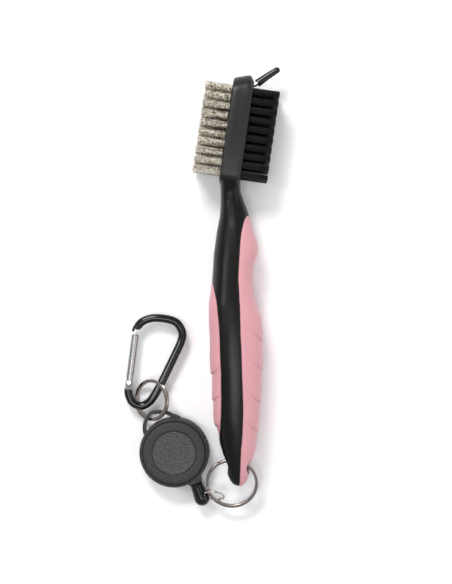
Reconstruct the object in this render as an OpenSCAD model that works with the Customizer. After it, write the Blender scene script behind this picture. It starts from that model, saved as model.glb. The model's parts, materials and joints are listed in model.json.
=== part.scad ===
// Club groove brush with retractable clip: a two-sided brush head (crimped wire on one
// side, nylon on the other), a capped groove spike, a soft-grip handle, and a key ring,
// jump ring, cord reel, split ring and carabiner that hang it from a bag.
// The object lies on its narrow side: +Y runs from the tail to the brush head, +X is the
// nylon side, +Z is up. Lengths in millimetres, origin at the middle of the footprint.

/* [Head] */
// thickness of the head plate between the two brush faces
head_t = 9.3; // [7:0.1:12]
// width of the head plate
head_w = 24; // [20:0.5:30]
// length of the head plate
head_l = 50; // [40:0.5:60]
// lean of the head away from the handle line, degrees
head_lean = 8.27; // [0:0.01:20]
// corner radius of the head plate
head_r = 7; // [3:0.5:10]
// depth of the moulded edge step around the plate
head_edge = 0.7; // [0.3:0.1:1.5]
// slope of the head end towards the wire side, degrees
fall_wire = 17.5; // [0:0.5:30]
// slope of the head end towards the nylon side, degrees
fall_nylon = 41.5; // [0:0.5:60]

/* [Tufts] */
// number of tuft rows along the head
tuft_rows = 10; // [6:1:12]
// number of tuft columns across the head
tuft_cols = 5; // [3:1:6]
// spacing of the rows
row_pitch = 4.22; // [3.5:0.01:5]
// spacing of the columns
col_pitch = 4.2; // [3.5:0.1:5]
// diameter of one tuft
tuft_d = 3.2; // [2:0.1:3.6]
// diameter of a tuft hole
hole_d = 3.3; // [2.2:0.1:3.8]
// depth of a tuft hole
hole_deep = 3.6; // [2:0.1:4]
// length of the tufts outside the plate
tuft_out = 12.4; // [8:0.1:16]
// thickness of the staple under a tuft
anchor_t = 0.5; // [0.3:0.1:0.8]

/* [Spike] */
// diameter of the bent steel pin
spike_d = 1.9; // [1.4:0.1:2.5]
// direction of the spike from the X axis, degrees
spike_dir = 33.7; // [0:0.1:60]
// length of the cap
cap_l = 12.3; // [8:0.1:16]
// outer diameter of the cap at its open end
cap_d = 3.7; // [3:0.1:5]
// radial running clearance of the cap on the spike
cap_fit = 0.05; // [0.02:0.01:0.1]

/* [Handle] */
// half of the handle depth at its fullest, and height of the handle axis over the ground
axis_z = 12; // [10:0.5:15]
// roundness of the handle sections (2 is an ellipse)
sec_n = 2.35; // [2:0.05:3]
// how far each grip scale swells out
scale_out = 0.55; // [0:0.05:1.2]
// diameter of the hole in the tail
bore_d = 8; // [6:0.1:9]
// distance of the tail hole from the tail end
bore_y = 9.4; // [8:0.1:12]
// how far the front mouth of the tail hole opens upwards, degrees
mouth_lift = 22; // [0:1:30]

/* [Key ring] */
// radius of the key ring, middle of the band
key_r = 11.3; // [9:0.1:14]
// radial thickness of the key ring
key_t = 1.4; // [1:0.1:2]
// height of the key ring along its axis, both coils
key_h = 2.0; // [1.6:0.1:3]
// hang of the key ring below level, degrees
key_tilt = 15; // [0:1:30]
// radius of the jump ring, middle of the wire
jump_r = 4.7; // [3.5:0.1:6]
// wire diameter of the jump ring
jump_d = 0.9; // [0.7:0.1:1.2]
// roll of the jump ring about its long direction, degrees
jump_roll = 60; // [30:1:80]

/* [Reel] */
// radius of the reel case
reel_r = 16; // [14:0.5:20]
// thickness of the reel
reel_t = 12; // [9:0.5:14]
// radius of the spool chamber in the case
chamber_r = 13.3; // [12:0.1:14]
// radius of the raised front cover
cover_r = 14.3; // [12:0.1:15]
// diameter of the recess for the badge
badge_d = 20; // [14:0.5:24]
// radius of the post the spool turns on
post_r = 1.6; // [1.2:0.1:2.5]
// radial running clearance of the spool on the post
spool_fit = 0.05; // [0.02:0.01:0.1]
// radius of the spool drum
drum_r = 8; // [6:0.5:10]
// radius of the spool flanges
flange_r = 12.8; // [10:0.1:13.5]
// diameter of the pull cord
cord_d = 0.9; // [0.6:0.1:1.5]
// direction the cord leaves the reel, degrees
pull_dir = -68; // [-90:1:-40]
// length of the cord-end bead
bead_l = 10.9; // [8:0.1:14]

/* [Clip] */
// radius of the split ring on the lug, middle of the band
lug_ring_r = 8.85; // [7:0.05:11]
// tilt of that split ring, degrees
lug_ring_tilt = 34; // [0:1:45]
// diameter of the carabiner rod
rod_d = 3.8; // [3:0.1:5]
// height of the carabiner above the ground, middle of the rod
rod_z = 4.95; // [3:0.05:7]
// diameter of the gate
gate_d = 3.5; // [3:0.1:4.5]
// diameter of the gate rivet
rivet_d = 1.5; // [1.2:0.1:2]

/* [Hidden] */
$fn = 48;
// facets of the large round parts
big_fn = 96;
// how far a cut runs on into the next one
over = 0.01;
// from the handle's own axes to the middle of the footprint
shift = [13.75, -89.8, 0];
// origin of the head plate (middle of its thickness and width), and its two ends
head_o = [-0.1, 146.4, axis_z];
head_y0 = -8.9;
head_y1 = head_y0 + head_l;
// where the slopes of the head end meet
ridge_x = 2.6;
// corner radius at the handle end of the plate
foot_r = 2.5;
// first tuft row and pin hole, along the head
row_y0 = 33.7;
root_y = 37.2;
// middle row whose outer tufts count as guard tufts
guard_row = 4;
// the pin: depth in the plate, straight length in the cap, length of its point
pin_deep = 2.5;
pin_l = 8.6;
tip_l = 1.9;
tip_r = 0.15;
// middle of the cap's open end, and how far back from it the pin bends
cap_o = [11.5, 183.6, axis_z];
bend_back = 1.9;
cap_tip_r = 1.45;
// how far inside the bore the key ring hangs
key_hang = 2.5;
jump_o = [-8.3, -5.1, 8.35];
jump_head = -8;
// diameter of the bead's hole for the jump ring
jump_hole_d = 2;
// reel: middle, seat of the cover, floor
reel_o = [-26.5, 14.7, 0];
seat_z = 9;
floor_z = 1.4;
// floor of the badge recess
badge_z = 11.3;
// spool: underside, flange thickness, underside of the upper flange, drum wall
spool_z = 1.9;
flange_t = 0.8;
upper_z = 7;
drum_wall = 0.9;
// middle of the bead's jump ring hole, and how far below its top face it lies
bead_o = [-14.2, -5.5, 6];
bead_hole_s = 6.2;
pull_v = [cos(pull_dir), sin(pull_dir), 0];
bead_end_r = 3.6;
// knot in the bead: start, length and radius
knot_s = 1.6;
knot_l = 2.2;
knot_r = 1.15;
// outer radius and length of the outlet bushing, and its start behind the bead
bush_r = 1.5;
bush_l = 4;
bush_s = -4.3;
// lug: underside and top
lug_z0 = 6.7;
lug_z1 = 7.8;
lug_o = [-37, 38.6, 6.15];
// gate: pivot, turn from the Y axis, length, tang thickness and fork slot
pivot_o = [-47.4, 46.8, rod_z];
gate_turn = -7.4;
gate_l = 22.2;
tang_t = 1.9;
slot_t = 2.1;
// latch pin: place along the gate and diameter
latch_y = 23.85;
latch_d = 0.8;
// outer radius of the gate spring
spring_r = 0.85;

// ---------- handle sections ----------
// left and right edge of the handle seen from above, by distance from the tail end
edge_l = [[0, 1.4], [1.1, 0.2], [3, -1.1], [6.3, -2.3], [11.6, -3.3], [16.2, -4.6],
          [20.3, -5.7], [22.6, -5.9], [26.7, -6.9], [30.4, -8.0], [38.6, -8.5],
          [47.7, -8.9], [59.6, -9.9], [68.3, -10.1], [76.2, -10.5], [81.5, -10.5],
          [87.5, -9.8], [93, -9.2], [99.6, -8.7], [104.8, -8.4], [108, -8.0],
          [116.2, -6.9], [124, -5.5], [130.4, -5.2], [135, -5.2], [139.5, -5.6],
          [144, -4.9]];
edge_r = [[0, 5.2], [1.1, 5.8], [3, 6.9], [6.3, 8.0], [11.6, 9.4], [16.2, 10.5],
          [20.3, 11.2], [22.6, 11.4], [26.7, 11.6], [30.4, 12.1], [38.6, 12.7],
          [47.7, 13.3], [59.6, 13.7], [68.3, 13.6], [76.2, 13.2], [81.5, 11.6],
          [87.5, 10.0], [93, 9.3], [99.6, 9.7], [104.8, 11.3], [108, 11.8],
          [116.2, 9.7], [124, 7.6], [130.4, 5.3], [135, 3.9], [139.5, 3.8],
          [144, 4.3]];
// half depth of the handle
half_z = [[0, 2.2], [1.1, 3.6], [3, 4.7], [6.3, 5.8], [11.6, 7.0], [16.2, 7.9],
          [22.6, 8.9], [30.4, 9.9], [45, 11.1], [60, 11.8], [70, 12], [80, 11.8],
          [90, 11.2], [100, 10.6], [108, 10.1], [116, 9.0], [124, 7.6], [130, 6.9],
          [133, 7.0], [135, 7.6], [137.2, 9.0], [139.5, 10.5], [141.8, 11.5], [144, 11.8]];
// border between the front grip and the core, and between the back grip and the core
bord_r = [[0, 3.2], [4, 3.4], [16, 3.8], [24.4, 4.5], [36, 4.8], [47.7, 4.4],
          [61, 4.0], [70, 3.5], [79, 3.4], [88.4, 3.0], [94.9, 2.7], [102.3, 3.0],
          [109.4, 3.4], [114, 3.9], [117.2, 4.6], [120, 5.3], [122.6, 6.4]];
bord_l = [[22.6, -5.5], [27.3, -5.4], [36, -5.0], [47.7, -5.0], [61, -5.4],
          [67.4, -5.6], [73.4, -6.0], [80.2, -6.6], [84.7, -7.2], [89.3, -8.2],
          [91, -8.7]];
front_y0 = 0;
front_y1 = 122;
back_y0 = 23;
back_y1 = 90.5;
// stations along the handle; the close pairs are the steps between grip scales
ys = [0, 1.1, 3, 6, 9.4, 13, 17, 21, 23, 24.3, 24.8, 26.5, 27, 31, 35, 37.5, 38, 38.5,
      39, 43, 47.5, 50.3, 50.8, 52.2, 52.7, 57, 62, 65.6, 66.1, 71, 76.2, 81.5, 86,
      90.5, 95, 99.6, 104.8, 108, 112, 116, 120, 122, 124, 127, 130.4, 133, 135, 137.2,
      139.5, 141.8, 144];
// swell of the scales: 1 just above a step, 0 just below it
swell_f = [[0, 0], [21, 0.4], [24.3, 0.2], [24.8, 1], [37.5, 0.1], [38, 1], [52.2, 0.1],
           [52.7, 1], [65.6, 0.1], [66.1, 1], [76, 0.3], [90, 0]];
swell_b = [[0, 0], [26.5, 0.1], [27, 1], [38.5, 0.1], [39, 1], [50.3, 0.1], [50.8, 1],
           [66, 0.3], [80, 0]];
// points along each plain stretch of a section, and across a swelling one
plain_n = 6;
swell_n = 14;

function sgn(v) = v < 0 ? -1 : 1;
function middle(s) = [for (p = s) 1 / len(s)] * s;
function has_f(y) = y >= front_y0 && y <= front_y1;
function has_b(y) = y >= back_y0 && y <= back_y1;
function xc(y) = (lookup(y, edge_l) + lookup(y, edge_r)) / 2;
function hx(y) = (lookup(y, edge_r) - lookup(y, edge_l)) / 2;
function hz(y) = lookup(y, half_z);
function sec(y, a, k = 0) = [
    xc(y) + (1 + k) * hx(y) * sgn(cos(a)) * pow(abs(cos(a)), 2 / sec_n),
    y,
    (1 + k / 2) * hz(y) * sgn(sin(a)) * pow(abs(sin(a)), 2 / sec_n)];
function br(y) = has_f(y) ? lookup(y, bord_r) : xc(y) + 0.7 * hx(y);
function bl(y) = has_b(y) ? lookup(y, bord_l) : xc(y) - 0.7 * hx(y);
function ang_at(y, b) =
    let (q = min(0.999, abs(b - xc(y)) / hx(y)), c = pow(q, sec_n / 2))
    b > xc(y) ? acos(c) : 180 - acos(c);
function ar(y) = ang_at(y, br(y));
function al(y) = ang_at(y, bl(y));
function arc(y, a0, a1, n) = [for (i = [0 : n - 1]) sec(y, a0 + (a1 - a0) * i / n)];
function bulge(y, a0, a1, n, t, g) = [for (i = [0 : n - 1])
    sec(y, a0 + (a1 - a0) * i / n, g * lookup(y, t) * pow(abs(sin(180 * i / n)), 0.6))];
function seg(p, q, n) = [for (i = [0 : n - 1]) p + (q - p) * i / n];
function core_sec(y) = concat(
    has_f(y) ? seg(sec(y, -ar(y)), sec(y, ar(y)), plain_n)
        : arc(y, -ar(y), ar(y), plain_n),
    arc(y, ar(y), al(y), plain_n),
    has_b(y) ? seg(sec(y, al(y)), sec(y, 360 - al(y)), plain_n)
        : arc(y, al(y), 360 - al(y), plain_n),
    arc(y, 360 - al(y), 360 - ar(y), plain_n));
function front_sec(y) = concat(
    bulge(y, -ar(y), ar(y), swell_n, swell_f, scale_out / hx(y)),
    seg(sec(y, ar(y)), sec(y, -ar(y)), plain_n));
function back_sec(y) = concat(
    bulge(y, al(y), 360 - al(y), swell_n, swell_b, scale_out / hx(y)),
    seg(sec(y, 360 - al(y)), sec(y, al(y)), plain_n));

// solid between a run of closed sections that all have the same number of points;
// each end is closed by a fan of triangles round its middle
module loft(secs) {
    k = len(secs[0]);
    n = len(secs);
    pts = concat([for (s = secs) for (p = s) p], [middle(secs[0]), middle(secs[n - 1])]);
    sides = [for (i = [0 : n - 2]) for (j = [0 : k - 1])
        let (a = i * k + j, b = i * k + (j + 1) % k)
        each [[a, b, b + k], [a, b + k, a + k]]];
    first = [for (j = [0 : k - 1]) [n * k, (j + 1) % k, j]];
    last = [for (j = [0 : k - 1]) [n * k + 1, (n - 1) * k + j, (n - 1) * k + (j + 1) % k]];
    polyhedron(points = pts, faces = concat(sides, first, last), convexity = 6);
}

module at_head() {
    translate(head_o) rotate([0, 0, -head_lean]) children();
}

module tail_bore() {
    translate([-20, bore_y, axis_z]) rotate([0, 90, 0]) cylinder(h = 50, d = bore_d);
    // the front mouth opens upwards
    translate([3, bore_y, axis_z]) rotate([0, 90 - mouth_lift, 0])
        cylinder(h = 12, d = bore_d);
}

// the head plate: a rounded rectangle in the YZ plane of the head, thick along X
module head_plate(t, inset) {
    w = head_w - 2 * inset;
    r = head_r - inset;
    y0 = head_y0 + inset;
    y1 = head_y1 - inset;
    rotate([90, 0, 90]) translate([0, 0, -t / 2]) linear_extrude(t) union() {
        translate([y0 + foot_r, -w / 2]) square([y1 - r - y0 - foot_r, w]);
        translate([y0, -w / 2 + foot_r]) square([y1 - r - y0, w - 2 * foot_r]);
        translate([y1 - r - 1, -w / 2 + r]) square([r + 1, w - 2 * r]);
        for (s = [-1, 1]) {
            translate([y1 - r, s * (w / 2 - r)]) circle(r = r);
            translate([y0 + foot_r, s * (w / 2 - foot_r)]) circle(r = foot_r);
        }
    }
}

// everything under the two slopes of the head end
module under_slopes() {
    reach = 8;
    translate([0, 0, -head_w]) linear_extrude(2 * head_w) polygon([
        [-reach, head_y0 - reach], [reach, head_y0 - reach],
        [reach, head_y1 - (reach - ridge_x) * tan(fall_nylon)], [ridge_x, head_y1],
        [-reach, head_y1 - (reach + ridge_x) * tan(fall_wire)]]);
}

// the corner tufts and the two at the ends of one middle row take the load in contact
function guard(i, j) = (i == 0 || i == guard_row || i == tuft_rows - 1)
    && (j == 0 || j == tuft_cols - 1);

// children at every tuft place; which: 0 all, 1 inner tufts, 2 guard tufts
module at_tufts(which) {
    for (i = [0 : tuft_rows - 1]) for (j = [0 : tuft_cols - 1])
        if (which == 0 || (which == 1 && !guard(i, j)) || (which == 2 && guard(i, j)))
            translate([0, row_y0 - i * row_pitch, (j - (tuft_cols - 1) / 2) * col_pitch])
                children();
}

// rod along the local X axis from x0 to x1
module rod_x(x0, x1, d) {
    translate([x0, 0, 0]) rotate([0, 90, 0]) cylinder(h = x1 - x0, d = d);
}

module brush_core() {
    color([0.07, 0.07, 0.08]) difference() {
        union() {
            translate([0, 0, axis_z]) loft([for (y = ys) core_sec(y)]);
            at_head() intersection() {
                union() {
                    head_plate(head_t, head_edge);
                    head_plate(head_t - 2 * head_edge, 0);
                }
                under_slopes();
            }
        }
        tail_bore();
        at_head() {
            at_tufts(0) rod_x(head_t / 2 - hole_deep, head_t / 2 + 3, hole_d);
            at_tufts(0) rod_x(-head_t / 2 - 3, -head_t / 2 + hole_deep, hole_d);
            translate([0, root_y, 0]) rod_x(-pin_deep, head_t / 2 + 3, spike_d + 0.2);
            // countersink round the bend of the pin
            translate([head_t / 2 - 0.7, root_y, 0]) rotate([0, 90, 0])
                cylinder(h = 1.4, d1 = spike_d + 0.2, d2 = spike_d + 2.2);
        }
    }
}

module grip_front() {
    color([0.9, 0.65, 0.67]) difference() {
        translate([0, 0, axis_z])
            loft([for (y = ys) if (y >= front_y0 && y <= front_y1) front_sec(y)]);
        tail_bore();
    }
}

module grip_back() {
    color([0.93, 0.72, 0.73]) translate([0, 0, axis_z])
        loft([for (y = ys) if (y >= back_y0 && y <= back_y1) back_sec(y)]);
}

module tufts(side, which) {
    x0 = head_t / 2 - hole_deep + anchor_t;
    x1 = head_t / 2 + tuft_out;
    at_head() at_tufts(which)
        if (side > 0) rod_x(x0, x1, tuft_d);
        else rod_x(-x1, -x0, tuft_d);
}

module wire_tufts() { color([0.78, 0.76, 0.72]) tufts(-1, 1); }
module wire_guard_tufts() { color([0.78, 0.76, 0.72]) tufts(-1, 2); }
module nylon_tufts() { color([0.1, 0.1, 0.11]) tufts(1, 1); }
module nylon_guard_tufts() { color([0.1, 0.1, 0.11]) tufts(1, 2); }

module anchors(side) {
    x0 = head_t / 2 - hole_deep;
    anchor_w = 0.8;
    anchor_l = 3;
    at_head() at_tufts(0)
        translate([side > 0 ? x0 : -x0 - anchor_t, -anchor_w / 2, -anchor_l / 2])
            cube([anchor_t, anchor_w, anchor_l]);
}

module wire_anchors() { color([0.75, 0.6, 0.3]) anchors(-1); }
module nylon_anchors() { color([0.75, 0.6, 0.3]) anchors(1); }

module spike() {
    bend_x = head_t / 2 + 0.05;
    color([0.75, 0.75, 0.77]) union() {
        at_head() translate([0, root_y, 0]) rod_x(-pin_deep, bend_x, spike_d);
        at_head() translate([bend_x, root_y, 0]) sphere(d = spike_d);
        translate(cap_o) rotate([0, 0, spike_dir]) {
            rod_x(-bend_back, pin_l, spike_d);
            translate([pin_l, 0, 0]) rotate([0, 90, 0])
                cylinder(h = tip_l, d1 = spike_d, r2 = tip_r);
        }
    }
}

module spike_cap() {
    ri = spike_d / 2 + cap_fit;
    color([0.05, 0.05, 0.06]) translate(cap_o) rotate([0, 0, spike_dir])
        rotate([0, 90, 0]) difference() {
            union() {
                cylinder(h = cap_l - cap_tip_r, d1 = cap_d, r2 = cap_tip_r);
                translate([0, 0, cap_l - cap_tip_r]) sphere(r = cap_tip_r);
            }
            translate([0, 0, -1]) cylinder(h = pin_l + 1.2, r = ri);
            translate([0, 0, pin_l + 0.2 - over])
                cylinder(h = tip_l, r1 = ri, r2 = 2 * tip_r);
        }
}

module band(r, t, h) {
    // two coils of a split ring with a fine groove where they meet
    half_gap = 0.05;
    groove = 0.15;
    rotate_extrude($fn = big_fn) union() {
        translate([r - t / 2, -h / 2]) square([t, h / 2 - half_gap]);
        translate([r - t / 2, half_gap]) square([t, h / 2 - half_gap]);
        translate([r - t / 2 + groove, -2 * half_gap])
            square([t - 2 * groove, 4 * half_gap]);
    }
}

module key_ring() {
    color([0.72, 0.72, 0.73]) translate([0, bore_y, axis_z]) rotate([key_tilt, 0, 0])
        translate([0, key_hang - key_r, 0]) band(key_r, key_t, key_h);
}

module torus(r, d) {
    rotate_extrude($fn = 64) translate([r, 0]) circle(d = d, $fn = 24);
}

module at_jump() {
    translate(jump_o) rotate([0, 0, jump_head]) rotate([jump_roll, 0, 0]) children();
}

module jump_ring() {
    color([0.8, 0.8, 0.8]) at_jump() torus(jump_r, jump_d);
}

// local +Z runs down the pull direction, zero at the top face of the bead
module at_bead() {
    translate(bead_o - bead_hole_s * pull_v) rotate([0, 0, pull_dir]) rotate([0, 90, 0])
        children();
}

module cord_end() {
    neck_l = 2.2;
    neck_r = 3;
    straight_l = bead_l - bead_end_r;
    color([0.04, 0.04, 0.05]) difference() {
        at_bead() union() {
            cylinder(h = neck_l, r1 = neck_r - 0.3, r2 = neck_r);
            translate([0, 0, neck_l])
                cylinder(h = straight_l - neck_l, r1 = neck_r, r2 = bead_end_r);
            translate([0, 0, straight_l]) sphere(r = bead_end_r);
        }
        at_bead() translate([0, 0, -1]) cylinder(h = 4, d = cord_d + 0.1);
        at_bead() translate([0, 0, knot_s]) cylinder(h = knot_l + 0.2, r = knot_r + 0.15);
        at_jump() torus(jump_r, jump_hole_d);
    }
}

module cord_knot() {
    color([0.15, 0.15, 0.16]) at_bead() translate([0, 0, knot_s])
        cylinder(h = knot_l, r = knot_r);
}

module pull_cord() {
    // from inside the reel to the knot
    inside = 7;
    color([0.15, 0.15, 0.16]) at_bead() translate([0, 0, -inside])
        cylinder(h = inside + knot_s, d = cord_d);
}

// outlet boss: where the cord leaves the case
module outlet_boss() {
    boss_w = 6.8;
    boss_h = 8.4;
    boss_l = 5.3;
    at_bead() translate([-boss_h / 2, -boss_w / 2, -boss_l - 0.3])
        cube([boss_h, boss_w, boss_l]);
}

module lug_plan() {
    difference() {
        polygon([[-41.1, 25.8], [-40.8, 28.2], [-39.6, 29.9], [-38, 32.5],
                 [-36.5, 33.6], [-33.7, 34.1], [-29.3, 34.1], [-27.2, 33],
                 [-24.5, 30.9], [-24.5, 28], [-33, 26], [-39, 22.5]]);
        polygon([[-39.3, 25.6], [-39.5, 26.8], [-39.0, 28.4], [-38.4, 30.2],
                 [-37.1, 31.8], [-35.2, 32.3], [-30.4, 32.2], [-29.0, 31.4],
                 [-29.4, 30.2], [-36, 20]]);
    }
}

module reel_back() {
    case_h = reel_t - 1.4;
    boss_z = 1.2;
    color([0.3, 0.3, 0.31]) difference() {
        union() {
            translate(reel_o) cylinder(h = case_h, r = reel_r, $fn = big_fn);
            intersection() {
                outlet_boss();
                translate(reel_o + [-2 * reel_r, -2 * reel_r, boss_z])
                    cube([4 * reel_r, 4 * reel_r, case_h - boss_z]);
            }
            translate([0, 0, lug_z0]) linear_extrude(lug_z1 - lug_z0) difference() {
                lug_plan();
                translate([reel_o[0], reel_o[1]]) circle(r = reel_r - 1, $fn = big_fn);
            }
        }
        // cover seat and spring chamber
        translate(reel_o + [0, 0, seat_z]) cylinder(h = 5, r = cover_r + 0.1, $fn = big_fn);
        translate(reel_o + [0, 0, floor_z]) cylinder(h = 9, r = chamber_r, $fn = big_fn);
        // bushing seat through the boss and the wall
        at_bead() translate([0, 0, -6.4]) cylinder(h = 7, r = bush_r);
    }
    color([0.3, 0.3, 0.31]) translate(reel_o + [0, 0, floor_z - 0.1])
        cylinder(h = 7.5, r = post_r);
}

module outlet_bush() {
    color([0.6, 0.6, 0.6]) at_bead() translate([0, 0, bush_s]) difference() {
        cylinder(h = bush_l, r = bush_r);
        translate([0, 0, -1]) cylinder(h = bush_l + 2, d = 2 * cord_d);
    }
}

module reel_front() {
    chamfer = 0.8;
    color([0.33, 0.33, 0.34]) translate(reel_o) difference() {
        union() {
            translate([0, 0, seat_z])
                cylinder(h = reel_t - chamfer - seat_z, r = cover_r, $fn = big_fn);
            translate([0, 0, reel_t - chamfer])
                cylinder(h = chamfer, r1 = cover_r, r2 = cover_r - chamfer, $fn = big_fn);
        }
        translate([0, 0, badge_z]) cylinder(h = 2, d = badge_d, $fn = big_fn);
    }
}

module reel_badge() {
    rim = 1.2;
    color([0.27, 0.27, 0.28]) translate(reel_o + [0, 0, badge_z]) difference() {
        cylinder(h = 0.45, d = badge_d - 0.2, $fn = big_fn);
        translate([0, 0, 0.3]) cylinder(h = 1, d = badge_d - 0.2 - 2 * rim, $fn = big_fn);
    }
}

module spool() {
    color([0.85, 0.85, 0.82]) translate(reel_o) difference() {
        union() {
            translate([0, 0, spool_z])
                cylinder(h = upper_z + flange_t - spool_z, r = drum_r, $fn = big_fn);
            for (z = [spool_z, upper_z]) translate([0, 0, z])
                cylinder(h = flange_t, r = flange_r, $fn = big_fn);
        }
        translate([0, 0, spool_z + flange_t])
            cylinder(h = 9, r = drum_r - drum_wall, $fn = big_fn);
        translate([0, 0, 1]) cylinder(h = 9, r = post_r + spool_fit);
    }
}

module wound_cord() {
    turns_t = 2.2;
    z0 = spool_z + flange_t;
    color([0.15, 0.15, 0.16]) translate(reel_o) rotate_extrude($fn = big_fn)
        translate([drum_r, z0]) square([turns_t, upper_z - z0]);
}

// flat coiled spring strip: coils drawn as thin rings joined by short bridges
module mainspring() {
    coil_r = 2.65;
    strip_t = 0.25;
    step = 0.95;
    bridge = 0.3;
    strip_z = spool_z + flange_t + 0.2;
    color([0.5, 0.5, 0.52]) translate(reel_o + [0, 0, strip_z]) linear_extrude(3.6) union() {
        for (i = [0 : 4]) difference() {
            circle(r = coil_r + strip_t + step * i, $fn = 72);
            circle(r = coil_r + step * i, $fn = 72);
        }
        for (i = [0 : 3]) rotate(i * 77)
            translate([coil_r + 0.1 + step * i, -bridge / 2]) square([step, bridge]);
        // tails to the post and to the drum wall
        translate([post_r, -bridge / 2]) square([1.2, bridge]);
        rotate(200) translate([6.55, -bridge / 2])
            square([drum_r - drum_wall - 6.55, bridge]);
    }
}

module post_clip() {
    color([0.6, 0.6, 0.62]) translate(reel_o + [0, 0, 8]) difference() {
        cylinder(h = 0.5, r = 3.2);
        translate([0, 0, -1]) cylinder(h = 3, r = post_r);
    }
}

module lug_ring() {
    color([0.72, 0.72, 0.73]) translate(lug_o) rotate([0, -lug_ring_tilt, 0])
        band(lug_ring_r, 1.5, 1.8);
}

// ---------- carabiner ----------
rod_path = [[-44.6, 69.6], [-43.9, 71.6], [-42.0, 74.2], [-38.6, 75.9], [-34.6, 76.4],
            [-29, 75.7], [-25.1, 73.8], [-22.9, 69.6], [-23.5, 65.5], [-25.7, 60.6],
            [-29, 53.7], [-32.4, 46.8], [-35.4, 41.3], [-38.2, 37.6], [-42, 35.8],
            [-45.8, 37.4], [-47.6, 40.8], [-47.9, 44.2]];
function cat(p0, p1, p2, p3, t) = 0.5 * (2 * p1 + (p2 - p0) * t
    + (2 * p0 - 5 * p1 + 4 * p2 - p3) * t * t + (3 * p1 - p0 - 3 * p2 + p3) * t * t * t);
function at(p, i) = p[max(0, min(len(p) - 1, i))];
function smooth(p, k) = concat([for (i = [0 : len(p) - 2]) for (j = [0 : k - 1])
    cat(at(p, i - 1), at(p, i), at(p, i + 1), at(p, i + 2), j / k)], [p[len(p) - 1]]);
function dir(p, i) = let (d = at(p, i + 1) - at(p, i - 1)) d / norm(d);
function rod_sec(p, i, r, n) = let (d = dir(p, i)) [for (j = [0 : n - 1])
    let (a = -360 * j / n) [p[i][0] - d[1] * r * cos(a), p[i][1] + d[0] * r * cos(a),
        rod_z + r * sin(a)]];

// local +Y runs up the shut gate from its pivot
module at_gate() {
    translate(pivot_o) rotate([0, 0, gate_turn]) children();
}

module carabiner_body() {
    p = smooth(rod_path, 3);
    color([0.04, 0.04, 0.05]) difference() {
        union() {
            difference() {
                loft([for (i = [0 : len(p) - 1]) rod_sec(p, i, rod_d / 2, 20)]);
                // flats either side of the tang
                for (s = [-1, 1]) translate([-50.5, 43.4, rod_z + s * 2 - 1])
                    cube([6, 3, 2]);
            }
            translate(pivot_o + [0, 0, -tang_t / 2]) cylinder(h = tang_t, r = 1.6);
            translate([-49.35, 43, rod_z - tang_t / 2]) cube([3.3, 3.9, tang_t]);
        }
        translate(pivot_o + [0, 0, -5]) cylinder(h = 10, d = rivet_d);
        // latch notch: tongue slot and pin groove, both open towards the inside
        at_gate() {
            translate([-1.1, 20, -slot_t / 2]) cube([6, 5.2, slot_t]);
            translate([-0.75, latch_y - 0.75, -3]) cube([6, 1.5, 6]);
            translate([-3, 20, -3]) cube([6, gate_l + 0.25 - 20, 6]);
        }
    }
}

module gate() {
    heel = 1.7;
    tongue = [1.4, 3.3, 1.7];
    color([0.85, 0.85, 0.86]) at_gate() difference() {
        union() {
            translate([0, -heel, 0]) rotate([-90, 0, 0])
                cylinder(h = gate_l + heel, d = gate_d);
            translate([-tongue[0] / 2, gate_l - 1, -tongue[2] / 2]) cube(tongue);
        }
        // fork slot around the tang
        translate([-3, -3, -slot_t / 2]) cube([6, 5.2, slot_t]);
        translate([0, 0, -5]) cylinder(h = 10, d = rivet_d + 0.1);
        translate([0, 2, 0]) rotate([-90, 0, 0]) cylinder(h = 10, r = spring_r + 0.1);
        translate([0, latch_y, -5]) cylinder(h = 10, d = latch_d);
    }
}

module gate_rivet() {
    color([0.6, 0.6, 0.62]) translate(pivot_o) union() {
        translate([0, 0, -2.0]) cylinder(h = 4.0, d = rivet_d);
        for (s = [-1, 1]) translate([0, 0, s * 2.1 - 0.25]) cylinder(h = 0.5, r = 1.25);
    }
}

module latch_pin() {
    pin_h = 3.5;
    color([0.7, 0.7, 0.72]) at_gate() translate([0, latch_y, -pin_h / 2])
        cylinder(h = pin_h, d = latch_d);
}

module gate_spring() {
    spring_l = 9.4;
    color([0.6, 0.6, 0.62]) at_gate() translate([0, 2.6, 0]) rotate([-90, 0, 0])
        difference() {
            cylinder(h = spring_l, r = spring_r);
            translate([0, 0, -1]) cylinder(h = spring_l + 2, r = spring_r - 0.25);
        }
}

translate(shift) {
    brush_core();
    grip_front();
    grip_back();
    wire_tufts();
    wire_guard_tufts();
    nylon_tufts();
    nylon_guard_tufts();
    wire_anchors();
    nylon_anchors();
    spike();
    spike_cap();
    key_ring();
    jump_ring();
    cord_end();
    cord_knot();
    pull_cord();
    reel_back();
    reel_front();
    reel_badge();
    outlet_bush();
    spool();
    wound_cord();
    mainspring();
    post_clip();
    lug_ring();
    carabiner_body();
    gate();
    gate_rivet();
    latch_pin();
    gate_spring();
}
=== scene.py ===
"""Looks of the club groove brush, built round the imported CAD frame.

Lengths are in millimetres in the brush's own axes: X to the nylon side, Y from the tail
to the head, Z up. at() moves them to the row frame, whose origin is the middle of the
footprint, and to metres.
"""
import json
import math

import bpy
import numpy as np
from mathutils import Matrix, Vector


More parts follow.
